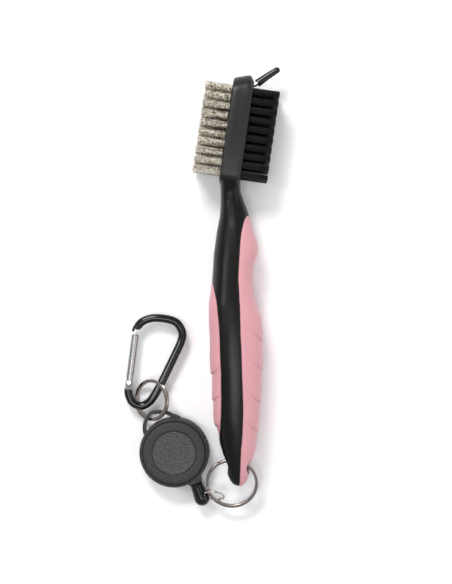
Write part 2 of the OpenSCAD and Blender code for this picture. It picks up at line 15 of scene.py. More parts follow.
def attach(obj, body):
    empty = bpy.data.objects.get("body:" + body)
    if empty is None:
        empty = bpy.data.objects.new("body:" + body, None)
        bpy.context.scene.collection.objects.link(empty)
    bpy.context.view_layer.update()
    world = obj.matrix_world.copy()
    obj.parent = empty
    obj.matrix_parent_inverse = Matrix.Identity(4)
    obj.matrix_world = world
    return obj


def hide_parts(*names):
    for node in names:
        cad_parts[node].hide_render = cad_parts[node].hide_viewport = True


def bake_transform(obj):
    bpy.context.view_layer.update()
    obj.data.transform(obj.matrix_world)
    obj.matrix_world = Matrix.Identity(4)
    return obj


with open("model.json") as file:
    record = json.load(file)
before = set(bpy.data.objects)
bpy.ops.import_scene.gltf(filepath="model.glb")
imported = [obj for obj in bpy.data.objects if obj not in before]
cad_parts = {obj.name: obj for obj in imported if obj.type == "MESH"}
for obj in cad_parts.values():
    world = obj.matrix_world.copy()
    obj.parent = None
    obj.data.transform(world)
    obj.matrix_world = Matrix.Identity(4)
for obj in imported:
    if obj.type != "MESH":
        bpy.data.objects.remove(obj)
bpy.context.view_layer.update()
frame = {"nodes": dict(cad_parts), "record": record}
RNG = np.random.default_rng(19)

MM = 0.001
SHIFT = np.array([13.75, -89.8, 0.0])
AXIS_Z = 12.0
UP = np.array([0.0, 0.0, 1.0])


def at(points):
    """Points in millimetres in the brush's axes, moved to the row frame in metres."""
    return (np.asarray(points, float) + SHIFT) * MM


def smoothstep(t):
    """Eases from 0 to 1 as t does, flat at both ends."""
    t = np.clip(t, 0.0, 1.0)
    return t * t * (3 - 2 * t)


# ---------------------------------------------------------------- materials

def principled(name, color, rough, metal=0.0, **inputs):
    """A material with one Principled shader; constants are set on its own sockets."""
    mat = bpy.data.materials.new(name)
    mat.use_nodes = True
    shader = mat.node_tree.nodes["Principled BSDF"]
    shader.inputs["Base Color"].default_value = (*color, 1)
    shader.inputs["Roughness"].default_value = rough
    shader.inputs["Metallic"].default_value = metal
    for key, value in inputs.items():
        shader.inputs[key.replace("_", " ")].default_value = value
    return mat


def noise_of(mat, scale, detail):
    """A noise node in the object's own coordinates."""
    nodes, links = mat.node_tree.nodes, mat.node_tree.links
    noise = nodes.new("ShaderNodeTexNoise")
    noise.inputs["Scale"].default_value = scale
    noise.inputs["Detail"].default_value = detail
    coords = nodes.new("ShaderNodeTexCoord")
    links.new(coords.outputs["Object"], noise.inputs["Vector"])
    return noise


def add_bump(mat, scale, strength, distance):
    """Fine surface relief from noise."""
    nodes, links = mat.node_tree.nodes, mat.node_tree.links
    noise = noise_of(mat, scale, 3.0)
    bump = nodes.new("ShaderNodeBump")
    bump.inputs["Strength"].default_value = strength
    bump.inputs["Distance"].default_value = distance
    links.new(noise.outputs["Fac"], bump.inputs["Height"])
    links.new(bump.outputs["Normal"], nodes["Principled BSDF"].inputs["Normal"])
    return mat


def add_mottle(mat, dark, light, scale, low=0.35, high=0.65):
    """Base colour that wanders between two tones; on the reel a random tone, on the wire painted
    crimp shade and painted glints.
    """
    nodes, links = mat.node_tree.nodes, mat.node_tree.links
    noise = noise_of(mat, scale, 4.0)
    ramp = nodes.new("ShaderNodeValToRGB")
    for stop, position, tone in zip(ramp.color_ramp.elements, (low, high), (dark, light)):
        stop.position = position
        stop.color = (*tone, 1)
    links.new(noise.outputs["Fac"], ramp.inputs["Fac"])
    links.new(ramp.outputs["Color"], nodes["Principled BSDF"].inputs["Base Color"])
    return mat


MATS = {
    "core_black": add_bump(
        principled("core_black", (0.005, 0.005, 0.0045), 0.30, Specular_IOR_Level=0.20),
        800, 0.32, 0.00007),
    # the head plate gets a copy of the core's black with a lighter base colour: painted sheen
    # standing in for the light its side face catches
    "head_black": add_bump(
        principled("head_black", (0.010, 0.010, 0.0095), 0.38, Specular_IOR_Level=0.32),
        900, 0.5, 0.00009),
    "grip_pink": add_bump(
        principled("grip_pink", (0.60, 0.28, 0.31), 0.55, Subsurface_Weight=0.1,
                   Subsurface_Radius=(0.004, 0.0015, 0.0015), Subsurface_Scale=0.5,
                   Sheen_Weight=0.15), 700, 0.25, 0.00006),
    # the mottled base colour of the wire is painted shade at the crimp troughs and painted glints
    # on the crimps
    "steel_wire": add_mottle(
        principled("steel_wire", (0.9, 0.85, 0.74), 0.24, 1.0), (0.44, 0.37, 0.27),
        (1.0, 0.97, 0.88), 1050, 0.40, 0.55),
    "black_nylon": principled("black_nylon", (0.006, 0.006, 0.007), 0.38, Specular_IOR_Level=0.25),
    "brass_staple": principled("brass_staple", (0.75, 0.52, 0.22), 0.3, 1.0),
    "pin_steel": principled("pin_steel", (0.8, 0.8, 0.82), 0.18, 1.0),
    "cap_vinyl": principled("cap_vinyl", (0.004, 0.004, 0.005), 0.12, Specular_IOR_Level=0.4),
    "ring_steel": principled("ring_steel", (0.36, 0.315, 0.29), 0.17, 1.0),
    "jump_steel": principled("jump_steel", (0.62, 0.55, 0.50), 0.15, 1.0),
    "bead_black": principled("bead_black", (0.005, 0.006, 0.007), 0.20, Specular_IOR_Level=0.3),
    "cord_black": principled("cord_black", (0.02, 0.02, 0.022), 0.8),
    "reel_case": add_bump(add_mottle(
        principled("reel_case", (0.06, 0.06, 0.063), 0.5, Specular_IOR_Level=0.22),
        (0.026, 0.026, 0.028), (0.045, 0.045, 0.048), 900), 1500, 0.5, 0.0001),
    "reel_cover": add_bump(add_mottle(
        principled("reel_cover", (0.06, 0.06, 0.063), 0.55, Specular_IOR_Level=0.22),
        (0.026, 0.026, 0.028), (0.045, 0.045, 0.049), 1100), 1700, 0.6, 0.0001),
    "reel_badge": add_bump(add_mottle(
        principled("reel_badge", (0.07, 0.07, 0.075), 0.6, Specular_IOR_Level=0.22),
        (0.034, 0.034, 0.036), (0.085, 0.085, 0.090), 1300), 1900, 0.9, 0.00012),
    "bush_grey": principled("bush_grey", (0.2, 0.2, 0.21), 0.5),
    "spool_white": principled("spool_white", (0.72, 0.71, 0.66), 0.45),
    "spring_steel": principled("spring_steel", (0.45, 0.45, 0.47), 0.3, 1.0),
    "carabiner_black": principled("carabiner_black", (0.004, 0.004, 0.005), 0.10,
                                  Specular_IOR_Level=0.4),
    "gate_aluminium": principled("gate_aluminium", (0.36, 0.35, 0.355), 0.26, 1.0),
    "rivet_steel": principled("rivet_steel", (0.6, 0.6, 0.62), 0.28, 1.0),
}

for entry in frame["record"]["subparts"]:
    cad = frame["nodes"][entry["node"]]
    cad.data.materials.clear()
    cad.data.materials.append(MATS[entry["material_slot"]])


# ---------------------------------------------------------------- mesh makers


def add_object(name, mesh, finish, body):
    """An object for the mesh, with its material, riding on a body."""
    obj = bpy.data.objects.new(name, mesh)
    bpy.context.scene.collection.objects.link(obj)
    mesh.materials.append(MATS[finish])
    if body:
        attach(obj, body)
    return obj


def shade(mesh, sharp):
    """Smooth shading, broken at edges over this angle in degrees."""
    mesh.polygons.foreach_set("use_smooth", [True] * len(mesh.polygons))
    if sharp:
        mesh.set_sharp_from_angle(angle=math.radians(sharp))


def add_mesh(name, verts, faces, finish, body, smooth=True, sharp=None):
    """A piece from points in millimetres and faces."""
    mesh = bpy.data.meshes.new(name)
    mesh.from_pydata(at(verts).tolist(), [], [list(map(int, f)) for f in faces])
    mesh.validate()
    mesh.update()
    if smooth:
        shade(mesh, sharp)
    return add_object(name, mesh, finish, body)


def grid_faces(rows, cols):
    """Quads of a rows x cols grid of points, row by row, with each row closed to a loop."""
    faces = []
    for i in range(rows - 1):
        for j in range(cols):
            a, b = i * cols + j, i * cols + (j + 1) % cols
            faces.append((a, b, b + cols, a + cols))
    return faces


def closed_grid(rows, cols):
    """grid_faces with a face over each end."""
    return grid_faces(rows, cols) + [
        tuple(reversed(range(cols))),
        tuple((rows - 1) * cols + j for j in range(cols))]


def join(parts):
    """Several (points, faces) as one."""
    verts, faces, base = [], [], 0
    for v, f in parts:
        verts.append(np.asarray(v, float))
        faces.extend([tuple(i + base for i in face) for face in f])
        base += len(v)
    return np.vstack(verts), faces


def skin(sections):
    """Closed surface over a run of closed sections with equal point counts."""
    return np.vstack(sections), closed_grid(len(sections), len(sections[0]))


def frames_along(path):
    """Tangent, side and up directions along a path, turning as little as possible."""
    tangent = np.gradient(np.asarray(path, float), axis=0)
    tangent /= np.linalg.norm(tangent, axis=1)[:, None]
    up = np.zeros_like(tangent)
    last = UP
    for i, t in enumerate(tangent):
        last = last - np.dot(last, t) * t
        last /= np.linalg.norm(last)
        up[i] = last
    return tangent, np.cross(up, tangent), up


def tube(path, radius, sides=16):
    """A round rod along a path; radius may be a list, one per point."""
    path = np.asarray(path, float)
    radius = np.broadcast_to(np.asarray(radius, float), (len(path),))
    _, side, up = frames_along(path)
    angle = np.linspace(0, 2 * math.pi, sides, endpoint=False)
    points = (path[:, None, :] + radius[:, None, None]
              * (np.cos(angle)[None, :, None] * side[:, None, :]
                 + np.sin(angle)[None, :, None] * up[:, None, :])).reshape(-1, 3)
    return points, closed_grid(len(path), sides)


def lathe(profile, sides=64):
    """Points (radius, height) turned round Z."""
    angle = np.linspace(0, 2 * math.pi, sides, endpoint=False)
    points = np.array([[(r * math.cos(a), r * math.sin(a), z) for a in angle]
                       for r, z in profile]).reshape(-1, 3)
    return points, closed_grid(len(profile), sides)


def rounded(points, radius, steps=6):
    """A polyline with its inner corners rounded. radius may be a list, one per point."""
    points = [np.asarray(p, float) for p in points]
    radii = radius if isinstance(radius, (list, tuple)) else [radius] * len(points)
    out = [points[0]]
    for before, here, after, r in zip(points, points[1:], points[2:], radii[1:-1]):
        a, b = before - here, after - here
        la, lb = np.linalg.norm(a), np.linalg.norm(b)
        cut = min(r, la * 0.49, lb * 0.49)
        if cut < 1e-6:
            out.append(here)
            continue
        p, q = here + a / la * cut, here + b / lb * cut
        for k in range(steps + 1):
            t = k / steps
            out.append((1 - t) ** 2 * p + 2 * t * (1 - t) * here + t * t * q)
    out.append(points[-1])
    return np.array(out)


def moved(points, matrix):
    """Points taken through a placement matrix."""
    points = np.asarray(points, float)
    return points @ np.array(matrix.to_3x3()).T + np.array(matrix.translation)


def put(matrix, made):
    """A made (points, faces) pair taken through a placement matrix."""
    points, faces = made
    return moved(points, matrix), faces


def turned(axis, degrees):
    return Matrix.Rotation(math.radians(degrees), 4, axis)


def place(origin):
    return Matrix.Translation(Vector(origin))


def spline(keys, x):
    """Smooth curve through (position, value) pairs that never overshoots them."""
    xs, ys = np.array(keys, float).T
    x = np.clip(x, xs[0], xs[-1])
    h = np.diff(xs)
    slope = np.diff(ys) / h
    m = np.zeros_like(ys)
    m[1:-1] = np.where(slope[:-1] * slope[1:] > 0,
                       2 * slope[:-1] * slope[1:] / (slope[:-1] + slope[1:] + 1e-12), 0)
    m[0], m[-1] = slope[0], slope[-1]
    i = np.clip(np.searchsorted(xs, x) - 1, 0, len(h) - 1)
    t = (x - xs[i]) / h[i]
    return ((2 * t**3 - 3 * t**2 + 1) * ys[i] + (t**3 - 2 * t**2 + t) * h[i] * m[i]
            + (-2 * t**3 + 3 * t**2) * ys[i + 1] + (t**3 - t**2) * h[i] * m[i + 1])


# ---------------------------------------------------------------- handle

EDGE_L = [(0, 1.6), (1.1, 0.2), (3, -1.1), (6.3, -2.3), (11.6, -3.3), (16.2, -4.6),
          (20.3, -5.7), (22.6, -5.9), (26.7, -6.9), (30.4, -8.0), (38.6, -8.5),
          (47.7, -8.9), (59.6, -9.9), (68.3, -10.1), (76.2, -10.5), (81.5, -10.5),
          (87.5, -9.8), (93, -9.2), (99.6, -8.7), (104.8, -8.4), (108, -8.0),
          (116.2, -6.9), (124, -5.5), (130.4, -5.2), (135, -5.2), (139.5, -5.6),
          (144, -4.9)]
EDGE_R = [(0, 5.0), (1.1, 5.8), (3, 6.9), (6.3, 8.0), (11.6, 9.4), (16.2, 10.5),
          (20.3, 11.2), (22.6, 11.4), (26.7, 11.6), (30.4, 12.1), (38.6, 12.7),
          (47.7, 13.3), (59.6, 13.7), (68.3, 13.6), (76.2, 13.2), (81.5, 11.6),
          (87.5, 10.0), (93, 9.3), (99.6, 9.7), (104.8, 11.3), (108, 11.8),
          (116.2, 9.7), (124, 7.6), (130.4, 5.3), (135, 3.9), (139.5, 3.8),
          (144, 4.3)]
HALF_Z = [(0, 2.0), (1.1, 3.6), (3, 4.7), (6.3, 5.8), (11.6, 7.0), (16.2, 7.9),
          (22.6, 8.9), (30.4, 9.9), (45, 11.1), (60, 11.8), (70, 12), (80, 11.8),
          (90, 11.2), (100, 10.6), (108, 10.1), (116, 9.0), (124, 7.6), (130, 6.9),
          (133, 7.0), (135, 7.6), (137.2, 8.8), (139.5, 9.9), (141.8, 10.5), (144, 10.8)]
BORDER_R = [(0, 3.2), (4, 3.4), (16, 3.8), (24.4, 4.5), (36, 4.8), (47.7, 4.4),
            (61, 4.0), (70, 3.5), (79, 3.4), (88.4, 3.0), (94.9, 2.7), (102.3, 3.0),
            (109.4, 3.4), (114, 3.9), (117.2, 4.6), (120, 5.3), (122.6, 6.4),
            (124, 7.5)]
BORDER_L = [(22.6, -5.8), (27.3, -5.4), (36, -5.0), (47.7, -5.0), (61, -5.4),
            (67.4, -5.6), (73.4, -6.0), (80.2, -6.6), (84.7, -7.2), (89.3, -8.2),
            (93.5, -9.15)]
# squareness of the sections along the handle; 2 is an ellipse
ROUNDNESS = [(0, 2.35), (128, 2.35), (137, 3.2), (144, 5.0)]
FRONT_NOTCHES = (24.4, 37.7, 52.4, 65.8)
BACK_NOTCHES = (26.7, 38.6, 50.5)


def section_point(y, angle, grow=0.0):
    """A point of the handle's skin at distance y from the tail; grow moves it outwards."""
    left, right, half = spline(EDGE_L, y), spline(EDGE_R, y), spline(HALF_Z, y)
    power = 2 / spline(ROUNDNESS, y)
    c, s = np.cos(angle), np.sin(angle)
    x = ((left + right) / 2 + ((right - left) / 2 + grow)
         * np.sign(c) * np.abs(c) ** power)
    z = AXIS_Z + (half + grow) * np.sign(s) * np.abs(s) ** power
    return np.stack([x, np.broadcast_to(y, np.shape(x)), z], -1)


def border_angle(y, border):
    """The angle at which the skin crosses a border line seen from above."""
    left, right = spline(EDGE_L, y), spline(EDGE_R, y)
    q = (border - (left + right) / 2) / ((right - left) / 2)
    q = np.clip(q, -0.985, 0.985)
    return np.arccos(np.sign(q) * np.abs(q) ** (spline(ROUNDNESS, y) / 2))


def scale_swell(y, inward, notches, height, reach):
    """Relief of the overlapping grip scales: it rises to a step at each notch line.

    The notch lines run up the handle as they go inwards from the edge.
    """
    out = np.zeros_like(y)
    line = y - 0.95 * inward
    fade = np.exp(-(inward / reach) ** 2)
    ends = list(notches[1:]) + [notches[-1] + 15]
    for start, end in zip(notches, ends):
        t = (line - start) / (end - start)
        rise = smoothstep((line - start) / 0.7)
        fall = np.clip(1 - t, 0, 1) ** 1.2
        out += np.where((t >= 0) & (t <= 1), height * rise * fall, 0)
    valley = sum(np.exp(-((line - n) / 0.55) ** 2) for n in notches)
    return (out - 0.30 * height * valley) * fade


# where the two grip panels lie along the handle
FRONT_END = 124.0
BACK_START, BACK_END = 22.6, 93.0
# how far the core is sunk under the panels
PANEL_SINK = 0.7
# length of the rounding at the tail's tip
TAIL_ROUND = 0.7
# points across a grip panel, and the size of its inner face against the outer one
GRIP_POINTS = 72
GRIP_INNER = 0.86
# height of the grip scales and how far they reach in from the edge
SCALE_H, SCALE_REACH = 0.62, 5.2


def make_core():
    """The black core: the handle's skin, sunk where the grip panels lie on it."""
    ys = np.concatenate([[0, 0.12, 0.35, 0.7], np.arange(1.1, 146.2, 0.75)])
    angles = np.linspace(0, 2 * math.pi, 144, endpoint=False)
    away = np.abs((angles + math.pi) % (2 * math.pi) - math.pi)
    # fine parting ridge down the middle of the neck
    ridge = np.exp(-((away - 0.5 * math.pi) * 7.0 / 0.28) ** 2)
    sections = []
    for y in ys:
        front = border_angle(y, spline(BORDER_R, y))
        back = border_angle(y, spline(BORDER_L, y))
        in_front = smoothstep((front - away) / 0.05) * (y < FRONT_END)
        in_back = smoothstep((away - back) / 0.05) * (BACK_START < y < BACK_END)
        sink = -PANEL_SINK * in_front * smoothstep((FRONT_END - y) / 4)
        sink -= (PANEL_SINK * in_back * smoothstep((y - BACK_START) / 2)
                 * smoothstep((BACK_END + 0.5 - y) / 4))
        sink += 0.10 * ridge * smoothstep((y - 104) / 6) * smoothstep((142 - y) / 4)
        pts = section_point(np.full(angles.shape, y), angles, sink)
        if y < TAIL_ROUND:
            tuck = (1 - math.sqrt(max(0.0, 1 - (1 - y / TAIL_ROUND) ** 2))) * 0.8
            centre = pts.mean(0)
            pts = centre + (pts - centre) * (1 - 0.45 * tuck)
            pts[:, 1] = y
        sections.append(pts)
    return skin(sections)


def grip_mesh(y0, y1, side):
    """A soft grip panel from y0 to y1: side 1 is the front (nylon side), -1 the back."""
    notches = FRONT_NOTCHES if side > 0 else BACK_NOTCHES
    loops = []
    for y in np.arange(y0, y1 + 0.01, 0.4):
        if side > 0:
            limit = float(border_angle(y, spline(BORDER_R, y)))
            angle = np.linspace(-limit, limit, GRIP_POINTS)
        else:
            limit = math.pi - float(border_angle(y, spline(BORDER_L, y)))
            angle = np.linspace(math.pi - limit, math.pi + limit, GRIP_POINTS)
        y_all = np.full(angle.shape, y)
        base = section_point(y_all, angle)
        edge = spline(EDGE_R, y) if side > 0 else spline(EDGE_L, y)
        inward = np.abs(edge - base[:, 0])
        arc = np.concatenate([[0], np.cumsum(np.linalg.norm(np.diff(base, axis=0), axis=1))])
        from_border = np.minimum(arc, arc[-1] - arc)
        ends = min(1.0, (y - y0) / 1.2, (y1 - y) / 1.2)
        # the panel stands a little proud and its rim dips below the core's skin
        lip = 0.12 - 0.75 * (1 - smoothstep(from_border / 0.9))
        lip = lip - 0.5 * (1 - smoothstep(ends))
        swell = scale_swell(y_all, inward, notches, SCALE_H, SCALE_REACH)
        swell *= smoothstep(from_border / 2.0)
        outer = section_point(y_all, angle, lip + swell)
        inner = outer[::-1].copy()
        centre_x = (spline(EDGE_L, y) + spline(EDGE_R, y)) / 2
        inner[:, 0] = centre_x + (inner[:, 0] - centre_x) * GRIP_INNER
        inner[:, 2] = AXIS_Z + (inner[:, 2] - AXIS_Z) * GRIP_INNER
        loops.append(np.vstack([outer, inner]))
    return skin(loops)


core = add_mesh("core_skin", *make_core(), "core_black", "brush")
front_grip = add_mesh("front_grip_skin", *grip_mesh(0.05, 123.6, 1), "grip_pink", "brush",
                      sharp=50)
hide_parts("grip_front")
back_grip = add_mesh("back_grip_skin", *grip_mesh(22.8, 93.0, -1), "grip_pink", "brush",
                     sharp=50)
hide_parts("grip_back")


def cut(obj, tool):
    """Cuts a tool solid, a (points, faces) pair, out of obj for good."""
    cutter = add_mesh("cut_tool", *tool, "core_black", None)
    mod = obj.modifiers.new("cut", "BOOLEAN")
    mod.operation = "DIFFERENCE"
    mod.solver = "EXACT"
    mod.object = cutter
    bpy.context.view_layer.update()
    done = bpy.data.meshes.new_from_object(obj.evaluated_get(
        bpy.context.evaluated_depsgraph_get()))
    obj.modifiers.clear()
    obj.data = done
    bpy.data.objects.remove(cutter)


# tail hole: its back mouth is flared, and the front one opens upwards from MOUTH_X on
BORE_Y, BORE_R = 9.4, 4.0
MOUTH_X = 3.0
MOUTH_LIFT = math.tan(math.radians(22))


def bore_tool():
    """The solid cut out for the tail hole, turned about X."""
    profile = [(6.2, -14), (6.2, -5.2), (4.9, -3.9), (4.15, -2.4), (BORE_R, -1.0),
               (BORE_R, MOUTH_X), (BORE_R, 16)]
    pts, faces = lathe(profile, 72)
    # 1 along the top of the bore, 0 along its bottom
    upper = 0.5 - 0.5 * pts[:, 0] / BORE_R
    pts[:, 0] -= MOUTH_LIFT * np.clip(pts[:, 2] - MOUTH_X, 0, None) * upper
    return moved(pts, place((0, BORE_Y, AXIS_Z)) @ turned("Y", 90)), faces


cut(core, bore_tool())
cut(front_grip, bore_tool())

# ---------------------------------------------------------------- head

HEAD = place((-0.1, 146.4, AXIS_Z)) @ turned("Z", -8.27)
HEAD_T, HEAD_W, HEAD_Y0, HEAD_Y1 = 9.3, 24.0, -8.9, 41.1
# corner radii at the far end and at the handle's end
HEAD_R, FOOT_R = 7.0, 4.0
# the sloping end: ridge line, and half the sum and half the difference of its two slopes
RIDGE_X, SLOPE, SLOPE_BIAS = 2.6, 0.6, 0.285


def head_top(x):
    """Height of the sloping head end at x, with a soft ridge."""
    away = x - RIDGE_X
    return HEAD_Y1 + 0.1 - SLOPE * math.sqrt(away * away + 0.12) - SLOPE_BIAS * away


def plate_outline(inset, top, steps=14):
    """Outline (y, z) of the head plate shrunk by inset; its edges fall away to the ends."""
    low, high = HEAD_Y0 + FOOT_R, top - HEAD_R
    corners = ((high, 1, HEAD_R, 90), (high, -1, HEAD_R, 0),
               (low, -1, FOOT_R, -90), (low, 1, FOOT_R, -180))
    out = []
    for cy, s, r, start in corners:
        for i in range(steps + 1):
            a = math.radians(start - 90 * i / steps)
            out.append((cy + (r - inset) * math.cos(a),
                        s * (HEAD_W / 2 - r) + (r - inset) * math.sin(a)))
        if s < 0 and cy == high:
            out += [(y, -HEAD_W / 2 + inset) for y in np.linspace(high, low, 22)[1:-1]]
    out += [(y, HEAD_W / 2 - inset) for y in np.linspace(low, high, 22)[1:-1]]
    out = np.array(out)
    fall = (np.clip(12 - out[:, 0], 0, None) ** 2 / 230
            + np.clip(out[:, 0] - 20, 0, None) ** 2 / 260)
    out[:, 1] *= 1 - fall / 12
    return out


def make_head():
    """The head plate as slices across its thickness, each (x, inset of the outline)."""
    half = HEAD_T / 2
    steps = [(-half, 0.75), (-half + 0.18, 0.42), (-half + 0.45, 0.15), (-half + 0.8, 0.0),
             (-2.4, -0.02), (-1.2, -0.02), (-0.12, -0.02), (0, -0.012), (0.12, -0.02),
             (1.2, -0.02), (1.9, -0.02), (2.3, -0.02), (2.6, -0.01), (2.9, -0.01),
             (half - 1.35, 0.0), (half - 1.2, 0.10), (half - 0.35, 0.85),
             (half - 0.12, 1.0), (half, 1.25)]
    sections = []
    for x, inset in steps:
        yz = plate_outline(inset, head_top(x))
        sections.append(np.column_stack([np.full(len(yz), x), yz]))
    verts, faces = skin(sections)
    return moved(verts, HEAD), faces


# the plate's material has a lighter base colour than the core: painted sheen
head = add_mesh("head_plate", *make_head(), "head_black", "brush", sharp=38)
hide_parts("brush_core")

ROWS, COLS, ROW_Y0, ROW_STEP, COL_STEP = 10, 5, 33.7, 4.22, 4.2
TUFT_R, TUFT_OUT = 1.6, 12.4
# length of one wave of the crimped wire, and how far it swings to either side
CRIMP_PERIOD, CRIMP_SWING = 1.45, 0.27


def filament_roots(count, radius):
    """Even scatter of roots inside a circle."""
    k = np.arange(count) + 0.5
    r = radius * np.sqrt(k / count)
    a = k * math.pi * (3 - math.sqrt(5))
    return np.column_stack([r * np.cos(a), r * np.sin(a)])


def filament_field(side):
    """All filaments of one brush face as one quad mesh: side -1 is the wire, 1 the nylon."""
    wire = side < 0
    count, thick, n = (18, 0.20, 62) if wire else (34, 0.15, 5)
    lean_by, length_by, splay_by = (0.010, 0.16, 0.20) if wire else (0.006, 0.05, 0.05)
    sides = 4
    root_x = HEAD_T / 2 - 3.0
    roots = filament_roots(count, TUFT_R - 0.35)
    ang = np.linspace(0, 2 * math.pi, sides, endpoint=False) + 0.4
    ring = np.column_stack([np.zeros(sides), np.cos(ang), np.sin(ang)]) * thick
    here = np.arange(n - 1)[:, None] * sides + np.arange(sides)[None]
    beside = np.arange(n - 1)[:, None] * sides + (np.arange(sides)[None] + 1) % sides
    quads = np.stack([here, beside, beside + sides, here + sides], -1).reshape(-1, 4)
    tip = (n - 1) * sides + np.arange(sides)
    if wire:
        quads, tip = quads[:, ::-1], tip[::-1]
    s = np.linspace(0, 1, n)
    parts_v, parts_f, base = [], [], 0
    for i in range(ROWS):
        for j in range(COLS):
            spin = RNG.uniform(0, 2 * math.pi)
            lean = RNG.normal(0, lean_by, 2)
            phase = RNG.uniform(0, 2 * math.pi)
            crimp = RNG.uniform(0.8, 1.4)
            reach = TUFT_OUT + (0.25 * (i / (ROWS - 1)) if wire else 0)
            for ry, rz in roots:
                y = ry * math.cos(spin) - rz * math.sin(spin)
                z = ry * math.sin(spin) + rz * math.cos(spin)
                length = min(reach + RNG.normal(-0.15, length_by), TUFT_OUT + 0.35)
                x = root_x + s * (HEAD_T / 2 + length - root_x)
                splay = 1.0 + splay_by * s ** 1.3
                yy = y * splay + lean[0] * (x - root_x)
                zz = z * splay + lean[1] * (x - root_x)
                if wire:
                    wave = np.sin(2 * math.pi * x / CRIMP_PERIOD + phase + RNG.normal(0, 0.25))
                    turn = crimp + RNG.normal(0, 0.25)
                    yy = yy + CRIMP_SWING * wave * math.cos(turn)
                    zz = zz + CRIMP_SWING * wave * math.sin(turn)
                else:
                    bow = RNG.normal(0, 0.06, 2)
                    yy = yy + bow[0] * s ** 2
                    zz = zz + bow[1] * s ** 2
                path = np.column_stack([
                    side * x,
                    yy + ROW_Y0 - i * ROW_STEP,
                    zz + (j - (COLS - 1) / 2) * COL_STEP])
                parts_v.append((path[:, None, :] + ring[None]).reshape(-1, 3))
                parts_f += [quads + base, (tip + base)[None]]
                base += n * sides
    return moved(np.vstack(parts_v), HEAD), np.vstack(parts_f)


def quads_mesh(name, verts, quads, finish, body):
    """add_mesh for large all-quad meshes."""
    mesh = bpy.data.meshes.new(name)
    mesh.vertices.add(len(verts))
    mesh.vertices.foreach_set("co", at(verts).ravel())
    mesh.loops.add(quads.size)
    mesh.loops.foreach_set("vertex_index", quads.ravel().astype(np.int32))
    mesh.polygons.add(len(quads))
    mesh.polygons.foreach_set("loop_start", np.arange(0, quads.size, 4, dtype=np.int32))
    mesh.polygons.foreach_set("use_smooth", np.ones(len(quads), bool))
    mesh.update(calc_edges=True)
    return add_object(name, mesh, finish, body)


wires = quads_mesh("wire_filaments", *filament_field(-1), "steel_wire", "brush")
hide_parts("wire_tufts", "wire_guard_tufts")
nylons = quads_mesh("nylon_filaments", *filament_field(1), "black_nylon", "brush")
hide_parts("nylon_tufts", "nylon_guard_tufts")

# ---------------------------------------------------------------- spike and cap

# mouth of the cap, its direction, its length and the radius of its round tip
CAP = np.array([11.5, 183.6, AXIS_Z])
CAP_TURN = math.radians(33.7)
CAP_DIR = np.array([math.cos(CAP_TURN), math.sin(CAP_TURN), 0.0])
CAP_L, CAP_TIP_R = 12.3, 1.46
# height in the head at which the spike is let in
SPIKE_Y = 37.2

root_in = np.array(HEAD @ Vector((-2.5, SPIKE_Y, 0)))
root_out = np.array(HEAD @ Vector((HEAD_T / 2 + 0.05, SPIKE_Y, 0)))
spike_path = rounded([root_in, root_out, CAP + 8.4 * CAP_DIR, CAP + 10.4 * CAP_DIR],
                     [0, 1.3, 0.1, 0], 8)
spike_radius = [0.95] * (len(spike_path) - 1) + [0.12]
spike_piece = add_mesh("spike_pin", *tube(spike_path, spike_radius, 24), "pin_steel",
                       "brush", sharp=40)
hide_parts("spike")


def make_cap():
    """The vinyl cap: a slightly bowed sleeve with a round tip and a rolled mouth."""
    outer = [(0.0, 1.72), (0.12, 1.84), (0.4, 1.86), (1.2, 1.80), (3, 1.72), (6, 1.60),
             (9, 1.50), (10.6, CAP_TIP_R)]
    for k in range(1, 9):
        a = math.radians(90 * k / 8)
        outer.append((CAP_L - CAP_TIP_R + CAP_TIP_R * math.sin(a),
                      max(0.05, CAP_TIP_R * math.cos(a))))
    inner = [(9.0, 0.2), (8.6, 1.02), (0.35, 1.02), (0.0, 1.2)]
    side = np.cross(UP, CAP_DIR)
    path, radius = [], []
    for s, r in outer[::-1] + inner[::-1]:
        bow = 0.16 * math.sin(math.pi * min(1, max(0, s / CAP_L)))
        path.append(CAP + s * CAP_DIR + bow * side)
        radius.append(r)
    sections = []
    angle = np.linspace(0, 2 * math.pi, 32, endpoint=False)
    for p, r in zip(path, radius):
        sections.append(p + r * (np.cos(angle)[:, None] * side + np.sin(angle)[:, None] * UP))
    return skin(sections)


cap = add_mesh("cap_sleeve", *make_cap(), "cap_vinyl", "cap", sharp=60)
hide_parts("spike_cap")

# ---------------------------------------------------------------- rings


def split_ring(radius, thick, height, start):
    """Two turns of flat wire that cross over once, with their ends on show."""
    coil = height / 2
    steps = 220
    t = np.linspace(0.012, 1.988, steps)
    a = np.radians(start) + 2 * math.pi * t
    climb = smoothstep((t - 0.90) / 0.20)
    z = -coil / 2 + coil * climb
    outline = rounded([(-thick / 2, 0), (-thick / 2, -coil / 2), (thick / 2, -coil / 2),
                       (thick / 2, coil / 2), (-thick / 2, coil / 2), (-thick / 2, 0)],
                      0.32, 4)[:-1]
    shrink = np.clip(np.minimum(t - 0.012, 1.988 - t) * 2 * math.pi * radius / 0.3, 0.55, 1)
    sections = []
    for ai, zi, k in zip(a, z, shrink):
        r = radius + outline[:, 0] * k
        sections.append(np.column_stack([r * math.cos(ai), r * math.sin(ai),
                                         zi + outline[:, 1] * 0.985 * k]))
    return skin(sections)


KEY_R, KEY_TILT, KEY_HANG = 11.3, 15, 2.5
KEY = (place((0, BORE_Y, AXIS_Z)) @ turned("X", KEY_TILT)
       @ place((0, KEY_HANG - KEY_R, 0)))
key_ring = add_mesh("key_ring_coils", *put(KEY, split_ring(KEY_R, 1.4, 2.0, 128)),
                    "ring_steel", "key_loop", sharp=45)
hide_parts("key_ring")

LUG_RING = place((-37, 38.6, 6.15)) @ turned("Y", -34)
lug_ring = add_mesh("lug_ring_coils", *put(LUG_RING, split_ring(8.85, 1.5, 1.8, 75)),
                    "ring_steel", "lug_loop", sharp=45)
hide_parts("lug_ring")

JUMP = place((-8.3, -5.1, 8.35)) @ turned("Z", -8) @ turned("X", 60)
JUMP_R, JUMP_WIRE_R = 4.7, 0.45
